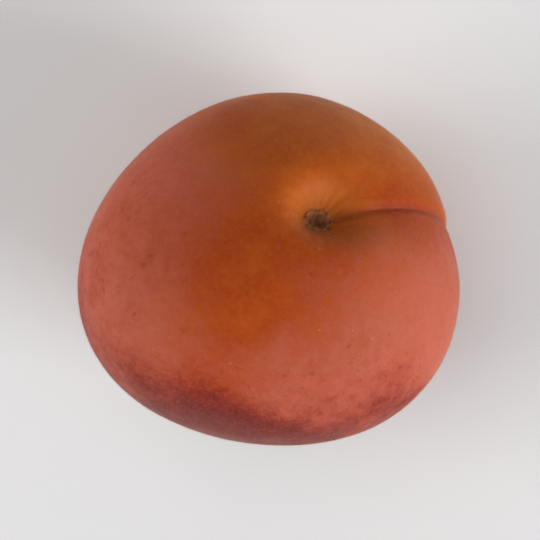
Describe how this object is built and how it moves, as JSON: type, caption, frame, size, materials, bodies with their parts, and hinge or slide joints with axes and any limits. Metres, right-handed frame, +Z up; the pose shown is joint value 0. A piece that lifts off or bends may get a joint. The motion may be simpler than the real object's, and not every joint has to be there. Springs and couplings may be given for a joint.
{
  "type": "apricot",
  "caption": "Whole ripe apricot, round and slightly tapered, with a suture down one side, a stalk cavity, a dry tip and a small flat spot that it rests on.",
  "frame": {"origin": "middle of the fruit's box, on the surface that it rests on", "axes": "+Z up from that surface, and +X along the fruit's greatest width, towards the side that the suture runs down. The stalk's end points up and over, 42 degrees from +Z and midway between +X and +Y, and the tip is underneath"},
  "size_m": [0.0488, 0.0458, 0.0454],
  "materials": {
    "skin": "soft satin under a short down, orange with a crimson blush"
  },
  "bodies": {
    "root": {"fruit": "skin"}
  },
  "joints": []
}
